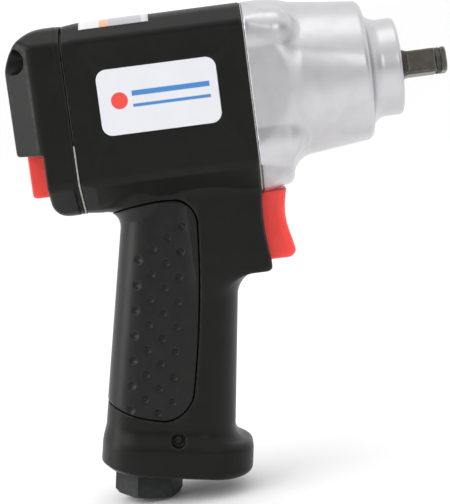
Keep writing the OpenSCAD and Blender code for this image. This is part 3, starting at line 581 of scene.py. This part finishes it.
class Look:
    """A node material being written: a Principled shader with textures in object space."""

    def __init__(self, name, color, roughness, metallic=0.0, **sockets):
        self.material = bpy.data.materials.new(name)
        self.material.use_nodes = True
        self.tree = self.material.node_tree
        self.shader = self.tree.nodes["Principled BSDF"]
        self.place = self.tree.nodes.new("ShaderNodeTexCoord").outputs["Object"]
        self.color = (*color, 1)
        self.set(self.shader, "Base Color", self.color)
        self.set(self.shader, "Roughness", roughness)
        self.set(self.shader, "Metallic", metallic)
        for socket, value in sockets.items():
            self.set(self.shader, socket.replace("_", " "), value)
        self.roughness = roughness
        self.height = None

    def set(self, node, socket, value):
        if isinstance(value, bpy.types.NodeSocket):
            self.tree.links.new(value, node.inputs[socket])
        else:
            node.inputs[socket].default_value = value

    def math(self, operation, a, b=0.0, clamp=False):
        node = self.tree.nodes.new("ShaderNodeMath")
        node.operation = operation
        node.use_clamp = clamp
        self.set(node, 0, a)
        self.set(node, 1, b)
        return node.outputs[0]

    def noise(self, size, detail=3.0, stretch=(1, 1, 1)):
        """Noise whose blotches are about the given size."""
        mapping = self.tree.nodes.new("ShaderNodeMapping")
        self.set(mapping, "Vector", self.place)
        mapping.inputs["Scale"].default_value = stretch
        node = self.tree.nodes.new("ShaderNodeTexNoise")
        self.set(node, "Vector", mapping.outputs[0])
        self.set(node, "Scale", 1 / size)
        self.set(node, "Detail", detail)
        return node.outputs["Fac"]

    def between(self, value, low, high):
        """A value that rises from 0 to 1 as the input goes from low to high."""
        node = self.tree.nodes.new("ShaderNodeMapRange")
        self.set(node, "Value", value)
        self.set(node, "From Min", low)
        self.set(node, "From Max", high)
        return node.outputs[0]

    def mix(self, factor, a, b):
        node = self.tree.nodes.new("ShaderNodeMix")
        node.data_type = "RGBA"
        self.set(node, 0, factor)
        self.set(node, 6, a)
        self.set(node, 7, b)
        return node.outputs[2]

    def tint(self, factor, color):
        """Mixes another colour over what is there."""
        under = self.shader.inputs["Base Color"]
        under = under.links[0].from_socket if under.is_linked else self.color
        self.set(self.shader, "Base Color", self.mix(factor, under, (*color, 1)))
        return self

    def vary_roughness(self, size, spread):
        lift = self.math("MULTIPLY_ADD", self.noise(size), 2 * spread)
        lift.node.inputs[2].default_value = self.roughness - spread
        self.set(self.shader, "Roughness", lift)
        return self

    def bump(self, height, depth, strength=1.0):
        """Adds a bump of the given depth on top of those already there."""
        node = self.tree.nodes.new("ShaderNodeBump")
        self.set(node, "Height", height)
        self.set(node, "Distance", depth)
        self.set(node, "Strength", strength)
        if self.height:
            self.set(node, "Normal", self.height)
        self.height = node.outputs[0]
        self.set(self.shader, "Normal", self.height)
        return self

    def edge_wear(self, color, low=0.515, high=0.56, amount=0.5):
        """Lightens rubbed convex edges."""
        edge = self.tree.nodes.new("ShaderNodeNewGeometry").outputs["Pointiness"]
        worn = self.math("MULTIPLY", self.between(edge, low, high), self.noise(3 * MM))
        return self.tint(self.math("MULTIPLY", worn, amount, clamp=True), color)

    def box_mask(self, x0, x1, z0, z1, soft=0.15 * MM):
        """1 inside a rectangle of X and Z, and 0 outside it."""
        split = self.tree.nodes.new("ShaderNodeSeparateXYZ")
        self.set(split, 0, self.place)
        x, z = split.outputs[0], split.outputs[2]
        inside = self.between(x, x0 - soft, x0 + soft)
        inside = self.math("MULTIPLY", inside, self.between(x, x1 + soft, x1 - soft))
        inside = self.math("MULTIPLY", inside, self.between(z, z0 - soft, z0 + soft))
        return self.math("MULTIPLY", inside, self.between(z, z1 + soft, z1 - soft))

    def disc_mask(self, x0, z0, r, soft=0.15 * MM):
        """1 inside a circle in X and Z, and 0 outside it."""
        flat = self.tree.nodes.new("ShaderNodeVectorMath")
        flat.operation = "MULTIPLY"
        flat.inputs[1].default_value = (1, 0, 1)
        self.set(flat, 0, self.place)
        away = self.tree.nodes.new("ShaderNodeVectorMath")
        away.operation = "DISTANCE"
        away.inputs[1].default_value = (x0, 0, z0)
        self.set(away, 0, flat.outputs[0])
        return self.between(away.outputs["Value"], r + soft, r - soft)


def moulded_plastic(name, color, roughness):
    look = Look(name, color, roughness, Specular_IOR_Level=0.17)
    look.tint(look.between(look.noise(9 * MM), 0.35, 0.7), [1.35 * c for c in color])
    look.vary_roughness(4 * MM, 0.05)
    look.bump(look.noise(0.45 * MM, 2), 0.012 * MM)
    look.bump(look.noise(14 * MM, 1), 0.05 * MM)
    return look


def housing_plastic():
    look = moulded_plastic("housing_plastic", (0.0050, 0.0058, 0.0046), 0.38)
    look.edge_wear((0.05, 0.052, 0.048))
    return look.material


def grip_rubber():
    look = Look("grip_rubber", (0.0050, 0.0056, 0.0047), 0.36, Specular_IOR_Level=0.24)
    look.tint(look.between(look.noise(6 * MM), 0.4, 0.75), (0.008, 0.009, 0.0075))
    look.vary_roughness(2.5 * MM, 0.06)
    look.bump(look.noise(0.35 * MM, 2), 0.02 * MM)
    return look.material


def cast_aluminium():
    look = Look("case_aluminium", (0.56, 0.553, 0.57), 0.34, 1.0)
    look.tint(look.between(look.noise(7 * MM, 4), 0.42, 0.8), (0.50, 0.493, 0.51))
    look.vary_roughness(3 * MM, 0.05)
    look.bump(look.noise(0.5 * MM, 2), 0.005 * MM)
    look.bump(look.noise(6 * MM, 2), 0.02 * MM)
    return look.material


def red_plastic():
    look = Look("red_plastic", (1.0, 0.068, 0.056), 0.38, Specular_IOR_Level=0.4)
    look.tint(look.between(look.noise(5 * MM), 0.35, 0.75), (0.93, 0.046, 0.036))
    look.vary_roughness(3 * MM, 0.05)
    look.bump(look.noise(0.5 * MM, 2), 0.01 * MM)
    look.edge_wear((0.95, 0.12, 0.09), amount=0.4)
    return look.material


def machined_steel(name, color, roughness, stretch=(1, 18, 18), worn=None):
    """Steel with turning marks round the drive axis."""
    look = Look(name, color, roughness, 1.0)
    look.tint(look.between(look.noise(2.5 * MM, 5), 0.4, 0.8), [0.72 * c for c in color])
    look.vary_roughness(1.2 * MM, 0.08)
    look.bump(look.noise(1.5 * MM, 3, stretch), 0.008 * MM)
    if worn:
        look.edge_wear(worn, 0.51, 0.55, 0.9)
    return look.material


def blackened_steel(name, color, roughness, worn=0.6):
    """Steel with a black oxide finish, rubbed bright on its edges by the given amount."""
    look = Look(name, color, roughness, 0.3, Specular_IOR_Level=0.25)
    look.tint(look.between(look.noise(3 * MM, 4), 0.4, 0.75), [1.8 * c for c in color])
    look.vary_roughness(2 * MM, 0.08)
    look.bump(look.noise(0.8 * MM, 4), 0.02 * MM)
    look.edge_wear((0.14, 0.14, 0.13), 0.53, 0.6, worn)
    return look.material


def soft_sheet(name, color, roughness, grain):
    """Felt, gasket paper or seal rubber, by its grain."""
    look = Look(name, color, roughness)
    look.tint(look.between(look.noise(3 * grain, 4), 0.35, 0.75), [0.7 * c for c in color])
    look.vary_roughness(grain * 4, 0.06)
    look.bump(look.noise(grain, 4), 0.25 * grain)
    return look.material


def label_film(name, color):
    look = Look(name, color, 0.3, Specular_IOR_Level=0.5, Coat_Weight=0.3, Coat_Roughness=0.15)
    look.tint(look.between(look.noise(12 * MM), 0.3, 0.8), [0.96 * c for c in color])
    look.vary_roughness(5 * MM, 0.04)
    look.bump(look.noise(4 * MM, 2), 0.006 * MM)
    return look


def side_label_film():
    """White film with a plain red disc and two plain blue bars."""
    look = label_film("label_white", (0.75, 0.755, 0.80))
    blue, red = (0.045, 0.22, 0.55), (0.80, 0.055, 0.04)
    start, end = label_x - 10 * MM, label_x + 19.5 * MM
    look.tint(look.box_mask(start, end, label_z + 1.5 * MM, label_z + 3.5 * MM), blue)
    look.tint(look.box_mask(start, end, label_z - 2.7 * MM, label_z - 1.5 * MM), blue)
    look.tint(look.disc_mask(label_x - 14.9 * MM, label_z + 0.3 * MM, 3.2 * MM), red)
    return look.material


def top_label_film():
    """Silver film with lighter ends and one plain orange stripe across it."""
    look = label_film("label_silver", (0.40, 0.39, 0.44))
    back, front = top_label_x
    stripe = back + 7.9 * MM
    low, high = 0, 2 * top_z
    look.tint(look.box_mask(back - MM, stripe, low, high), (0.66, 0.655, 0.68))
    look.tint(look.box_mask(stripe, stripe + 3.4 * MM, low, high), (0.70, 0.36, 0.20))
    look.tint(look.box_mask(front - 2.6 * MM, front + MM, low, high), (0.60, 0.595, 0.63))
    return look.material


def resin(name, color):
    look = Look(name, color, 0.45, Coat_Weight=0.2, Coat_Roughness=0.3)
    look.tint(look.between(look.noise(1.5 * MM, 4, (1, 6, 6)), 0.4, 0.7), [0.6 * c for c in color])
    look.vary_roughness(2 * MM, 0.08)
    look.bump(look.noise(0.6 * MM, 3), 0.02 * MM)
    return look.material


LOOKS = {
    "housing_plastic": housing_plastic(),
    "grip_rubber": grip_rubber(),
    "case_aluminium": cast_aluminium(),
    "red_plastic": red_plastic(),
    "gasket_sheet": soft_sheet("gasket_sheet", (0.42, 0.41, 0.38), 0.7, 0.4 * MM),
    "screw_steel": blackened_steel("screw_steel", (0.014, 0.014, 0.015), 0.38),
    "label_white": side_label_film(),
    "label_silver": top_label_film(),
    "motor_steel": machined_steel("motor_steel", (0.46, 0.47, 0.49), 0.3),
    "bearing_steel": machined_steel("bearing_steel", (0.72, 0.73, 0.75), 0.12),
    "bronze": machined_steel("bronze", (0.52, 0.36, 0.17), 0.36),
    "seal_rubber": soft_sheet("seal_rubber", (0.016, 0.016, 0.016), 0.5, 0.3 * MM),
    "spring_steel": machined_steel("spring_steel", (0.5, 0.5, 0.52), 0.28),
    "inlet_steel": blackened_steel("inlet_steel", (0.009, 0.0108, 0.0102), 0.34, 0.2),
    "felt": soft_sheet("felt", (0.30, 0.28, 0.22), 0.95, 0.5 * MM),
    "hammer_steel": machined_steel("hammer_steel", (0.28, 0.29, 0.30), 0.4),
    "drive_steel": machined_steel("drive_steel", (0.085, 0.08, 0.068), 0.3, worn=(0.38, 0.37, 0.34)),
    "vane_resin": resin("vane_resin", (0.22, 0.12, 0.06)),
}
for row in frame["record"]["subparts"]:
    node = frame["nodes"][row["node"]]
    node.data.materials.clear()
    node.data.materials.append(LOOKS[row["material_slot"]])
# Two small nodes are darker than the rest of their slots
frame["nodes"]["friction_ring"].data.materials[0] = LOOKS["screw_steel"]
# Painted shade: the base pin is blackened steel, made near-black as well to stand in for the shade of its
# recess
frame["nodes"]["base_pin"].data.materials[0] = blackened_steel("pin_steel_painted_shade", (0.006, 0.006, 0.006), 0.4, 0)


def finished(piece, body, slot, *nodes):
    """Gives a piece its finish, its body and the CAD nodes it stands for."""
    piece.data.materials.clear()
    piece.data.materials.append(LOOKS[slot])
    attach(piece, body)
    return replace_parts(piece, *nodes)


# ---------------------------------------------------------------- pieces made as solids

def spread(box, margin):
    """A box grown by a margin on every side."""
    return [c - margin for c in box[0]], [c + margin for c in box[1]]


housing_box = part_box("motor_housing")
finished(shape("housing_shell", housing, *spread(housing_box, MM), 0.62 * MM, 170000),
         "housing", "housing_plastic", "motor_housing")
finished(shape("hammer_case_casting", hammer_case, *spread(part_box("hammer_case"), MM), 0.5 * MM, 120000),
         "housing", "case_aluminium", "hammer_case")
finished(shape("rear_cover_moulding", rear_cover, *spread(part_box("rear_cover"), MM), 0.45 * MM, 110000),
         "housing", "housing_plastic", "rear_cover")
finished(shape("grip_pad", soft_grip, *spread(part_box("soft_grip"), 4 * MM), 0.45 * MM, 110000),
         "housing", "grip_rubber", "soft_grip")
gasket_step = (0.15 * MM, 0.5 * MM, 0.5 * MM)
finished(shape("case_gasket_sheet", gasket(housing_front_x, seam_x, bore_r, 0),
               *spread(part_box("case_gasket"), 0.2 * MM), gasket_step, 40000),
         "housing", "gasket_sheet", "case_gasket")
finished(shape("rear_gasket_sheet", gasket(cover_front_x, housing_rear_x, bushing_bore_r, 3 * MM),
               *spread(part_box("rear_gasket"), 0.2 * MM), gasket_step, 40000),
         "housing", "gasket_sheet", "rear_gasket")
finished(shape("trigger_blade", trigger, *spread(trigger_box, 0.5 * MM), 0.35 * MM, 40000),
         "trigger", "red_plastic", "trigger")
finished(shape("reverse_lever_blade", reverse_lever, *spread(lever_box, 0.5 * MM), 0.3 * MM, 40000),
         "reverse", "red_plastic", "reverse_lever")
finished(shape("anvil_shaft", anvil, *spread(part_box("anvil"), 0.5 * MM), 0.28 * MM, 90000),
         "anvil", "drive_steel", "anvil")


# ---------------------------------------------------------------- labels

def film_plate(name, loop, y_in, y_out):
    """Flat film with a bevelled edge, from its outline in X and Z."""
    bevel = 0.12 * MM
    centre = sum((Vector(p) for p in loop), Vector((0, 0))) / len(loop)
    face = [centre + (Vector(p) - centre) * (1 - bevel / label_half_h) for p in loop]
    side = 1 if y_out > y_in else -1
    rings = [(loop, y_in), (loop, y_out - side * bevel), (face, y_out)]
    points = [(p[0], y, p[1]) for ring, y in rings for p in ring]
    n = len(loop)
    walls = [(r * n + i, r * n + (i + 1) % n, (r + 1) * n + (i + 1) % n, (r + 1) * n + i)
             for r in range(len(rings) - 1) for i in range(n)]
    ends = [tuple(range(n - 1, -1, -1)), tuple(range(2 * n, 3 * n))]
    faces = walls + ends
    if side > 0:
        faces = [f[::-1] for f in faces]
    piece = mesh_object(name, points, faces)
    piece.data.polygons.foreach_set("use_smooth", [False] * len(faces))
    return piece


def rounded_loop(x, z, half_x, half_z, r, steps=10):
    """Points round a rectangle with round corners, anticlockwise."""
    loop = []
    for quarter, (sx, sz) in enumerate(((1, 1), (-1, 1), (-1, -1), (1, -1))):
        corner_x, corner_z = x + sx * (half_x - r), z + sz * (half_z - r)
        for i in range(steps + 1):
            t = math.pi / 2 * (quarter + i / steps)
            loop.append((corner_x + r * math.cos(t), corner_z + r * math.sin(t)))
    return loop


label_loop = rounded_loop(label_x, label_z, label_half_l, label_half_h, label_corner_r)
film_in, film_out = half_w - label_depth + 0.02 * MM, half_w - 0.08 * MM
for label_name, side in (("side_label_right", -1), ("side_label_left", 1)):
    label = film_plate(label_name, label_loop, side * film_in, side * film_out)
    finished(label, "housing", "label_white", "side_labels")


def outline_point(angle, offset):
    """Where a ray from the drive axis leaves the body's outline, moved outwards by an offset."""
    near, far = 0.0, 60 * MM
    y, z = math.cos(angle), math.sin(angle)
    for _ in range(30):
        middle = (near + far) / 2
        if body_outline(middle * y, middle * z) < offset:
            near = middle
        else:
            far = middle
    return near * y, near * z


def top_film():
    """Film laid over the flat top and both bevels."""
    edge = math.atan2(top_z - 2.8 * MM, top_half_w + 4.5 * MM)
    film_high, film_low = 0.18 * MM, -0.05 * MM
    angles = np.linspace(edge, math.pi - edge, 80)
    stations = np.linspace(*top_label_x, 12)
    outer = [outline_point(a, film_high) for a in angles]
    inner = [outline_point(a, film_low) for a in angles]
    loop = outer + inner[::-1]
    n = len(loop)
    points = [(x, y, z) for x in stations for y, z in loop]
    faces = [(s * n + i, (s + 1) * n + i, (s + 1) * n + (i + 1) % n, s * n + (i + 1) % n)
             for s in range(len(stations) - 1) for i in range(n)]
    ends = [(i, i + 1, n - 2 - i, n - 1 - i) for i in range(len(angles) - 1)]
    last = (len(stations) - 1) * n
    faces += ends + [tuple(last + p for p in end[::-1]) for end in ends]
    return mesh_object("top_label_film", points, faces)


finished(top_film(), "housing", "label_silver", "top_label")


# ---------------------------------------------------------------- floor, light and camera

def stage_floor():
    half = 40.0
    steps = 24
    floor_z = cad_low.z - 0.2 * MM
    line = np.linspace(-half, half, steps)
    points = [(x, y, floor_z) for x in line for y in line]
    faces = [(i * steps + j, (i + 1) * steps + j, (i + 1) * steps + j + 1, i * steps + j + 1)
             for i in range(steps - 1) for j in range(steps - 1)]
    floor = mesh_object("floor", points, faces)
    look = Look("floor_paper", (0.93, 0.93, 0.93), 0.7)
    floor.data.materials.append(look.material)


def soft_box(name, place, aim, width, height, power):
    light = bpy.data.lights.new(name, "AREA")
    light.shape = "RECTANGLE"
    light.size, light.size_y = width, height
    light.energy = power
    lamp = bpy.data.objects.new(name, light)
    bpy.context.scene.collection.objects.link(lamp)
    lamp.location = place
    lamp.rotation_euler = (Vector(aim) - Vector(place)).to_track_quat("-Z", "Y").to_euler()


def studio_world():
    """White behind the tool, and greyer on the camera's side, so that dark surfaces stay dark."""
    world = bpy.data.worlds.new("studio")
    bpy.context.scene.world = world
    world.use_nodes = True
    tree = world.node_tree
    coord = tree.nodes.new("ShaderNodeTexCoord")
    toward = tree.nodes.new("ShaderNodeVectorMath")
    toward.operation = "DOT_PRODUCT"
    toward.inputs[1].default_value = (-0.15, 1.0, 1.3)
    tree.links.new(coord.outputs["Generated"], toward.inputs[0])
    ramp = tree.nodes.new("ShaderNodeMapRange")
    tree.links.new(toward.outputs["Value"], ramp.inputs["Value"])
    for socket, value in (("From Min", -0.6), ("From Max", 0.35), ("To Min", 0.35), ("To Max", 1.12)):
        ramp.inputs[socket].default_value = value
    back = tree.nodes["Background"]
    back.inputs["Color"].default_value = (1, 1, 1, 1)
    tree.links.new(ramp.outputs[0], back.inputs["Strength"])


def main_camera():
    """Seen from the tool's right, from slightly above, with the nose tilted up."""
    aim = Vector((-95.85 * MM, 0, -64.72 * MM))
    distance = 0.650
    look_down = math.radians(8.2)
    roll = math.radians(7.4)
    back = Vector((0, -math.cos(look_down), math.sin(look_down)))
    level_right = Vector((1, 0, 0))
    level_up = back.cross(level_right)
    right = math.cos(roll) * level_right - math.sin(roll) * level_up
    up = back.cross(right)
    data = bpy.data.cameras.new("camera")
    data.sensor_width = 36
    data.lens = 116.07
    camera = bpy.data.objects.new("camera", data)
    bpy.context.scene.collection.objects.link(camera)
    place = aim + distance * back
    camera.matrix_world = Matrix((
        (right.x, up.x, back.x, place.x),
        (right.y, up.y, back.y, place.y),
        (right.z, up.z, back.z, place.z),
        (0, 0, 0, 1)))
    bpy.context.scene.camera = camera


tool_middle = (-0.1, 0, -0.05)
stage_floor()
studio_world()
soft_box("key_left", (-0.75, -0.45, 0.45), tool_middle, 0.5, 0.5, 1.8)
soft_box("side_left", (-1.0, -0.08, 0.12), tool_middle, 0.3, 0.7, 2.6)
soft_box("top", (-0.1, -0.1, 0.9), tool_middle, 0.9, 0.6, 1.2)
soft_box("front", (0.30, -0.9, 0.30), tool_middle, 0.25, 0.35, 0.7)
main_camera()
bpy.context.scene.view_settings.view_transform = "Standard"
